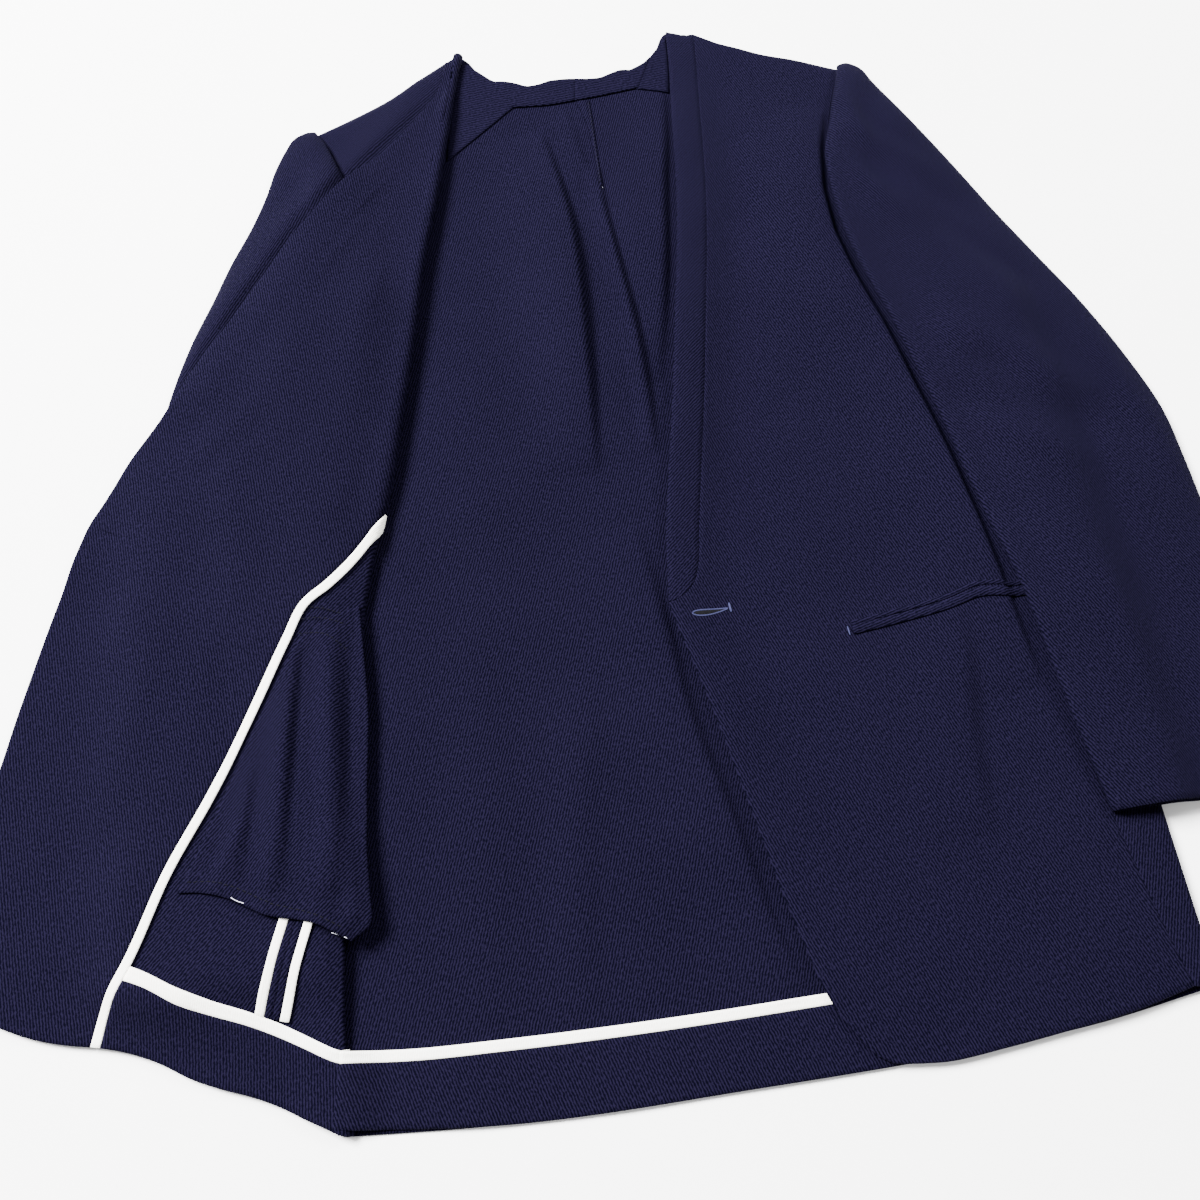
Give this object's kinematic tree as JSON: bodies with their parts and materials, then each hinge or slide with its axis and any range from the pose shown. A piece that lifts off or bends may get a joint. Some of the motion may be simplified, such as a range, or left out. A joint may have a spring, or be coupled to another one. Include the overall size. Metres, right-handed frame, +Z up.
{
  "type": "collarless jacket",
  "caption": "Hip-length collarless jacket laid flat: V neckline with narrow band, left front closed over the back, right front folded and turned open to show a bound facing.",
  "frame": {"origin": "middle of the base of the bounding box, on the surface the jacket lies on", "axes": "+Z up off the surface, +Y along the back from hem to neck, +X towards the closed left front (left and right are the wearer's)"},
  "size_m": [0.7672, 0.7282, 0.022],
  "materials": {
    "navy_twill": "fine matte twill",
    "white_tape": "satin bias tape",
    "slate_thread": "twisted thread",
    "navy_button": "semi-gloss"
  },
  "bodies": {
    "root": {"back": "navy_twill", "left_front": "navy_twill", "right_front": "navy_twill", "left_neck_band": "navy_twill", "right_neck_band": "navy_twill", "back_neck_band_left": "navy_twill", "back_neck_band_right": "navy_twill", "left_shoulder_facing": "navy_twill", "right_shoulder_facing": "navy_twill", "back_dart": "navy_twill", "left_sleeve_top": "navy_twill", "left_sleeve_under": "navy_twill", "right_sleeve_top": "navy_twill", "right_sleeve_under": "navy_twill", "right_front_facing": "navy_twill", "right_front_hem": "navy_twill", "back_hem": "navy_twill", "facing_binding": "white_tape", "front_hem_binding": "white_tape", "back_hem_binding": "white_tape", "side_allowance_front": "navy_twill", "side_allowance_back": "navy_twill", "side_binding_front": "white_tape", "side_binding_back": "white_tape", "pocket_bag": "navy_twill", "left_pocket_upper_jet": "navy_twill", "left_pocket_lower_jet": "navy_twill", "buttonhole": "slate_thread", "button": "navy_button"}
  },
  "joints": []
}
